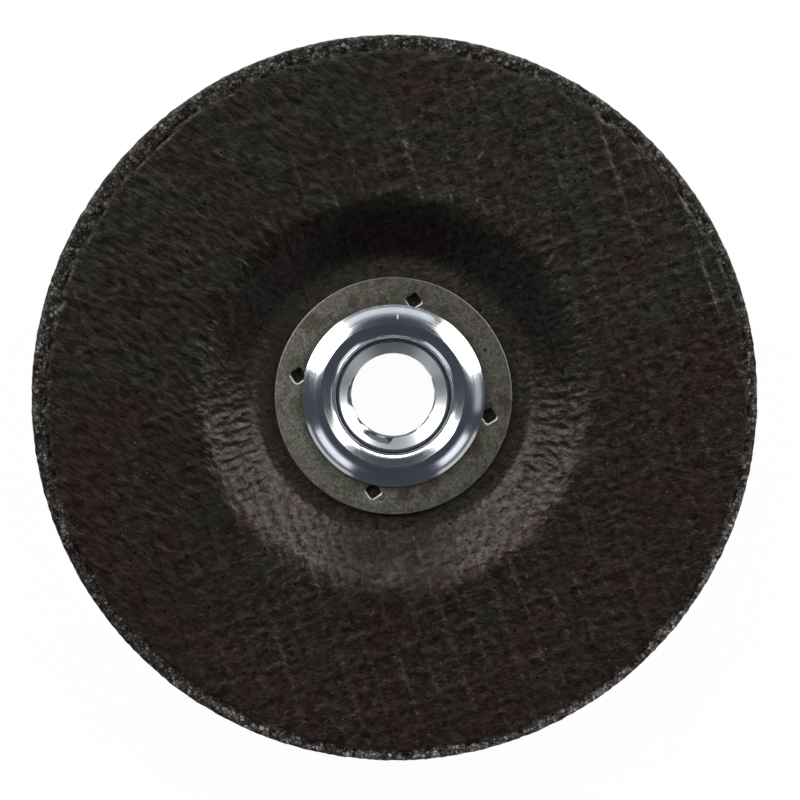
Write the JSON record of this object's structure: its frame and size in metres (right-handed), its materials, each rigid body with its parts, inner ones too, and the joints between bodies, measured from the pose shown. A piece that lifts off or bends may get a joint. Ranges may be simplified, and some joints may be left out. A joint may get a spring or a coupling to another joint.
{
  "type": "depressed-centre grinding disc",
  "caption": "Depressed-centre abrasive grinding disc, its metal hub threaded for a grinder spindle and spun over a toothed retaining washer.",
  "frame": {"origin": "centre of the hub's hexagon end face, which is the lowest face, on the wheel axis", "axes": "+Z along the wheel axis towards the grinding face, +X to the right and +Y up as the picture shows the face"},
  "size_m": [0.115, 0.115, 0.022],
  "materials": {
    "bonded_abrasive": "rough resin-bonded grit with a woven imprint",
    "zinc_plated_steel": "bright zinc plate",
    "dull_steel": "dull grey, slightly mottled"
  },
  "bodies": {
    "root": {"abrasive_wheel": "bonded_abrasive", "threaded_hub": "zinc_plated_steel", "retaining_washer": "dull_steel"}
  },
  "joints": []
}
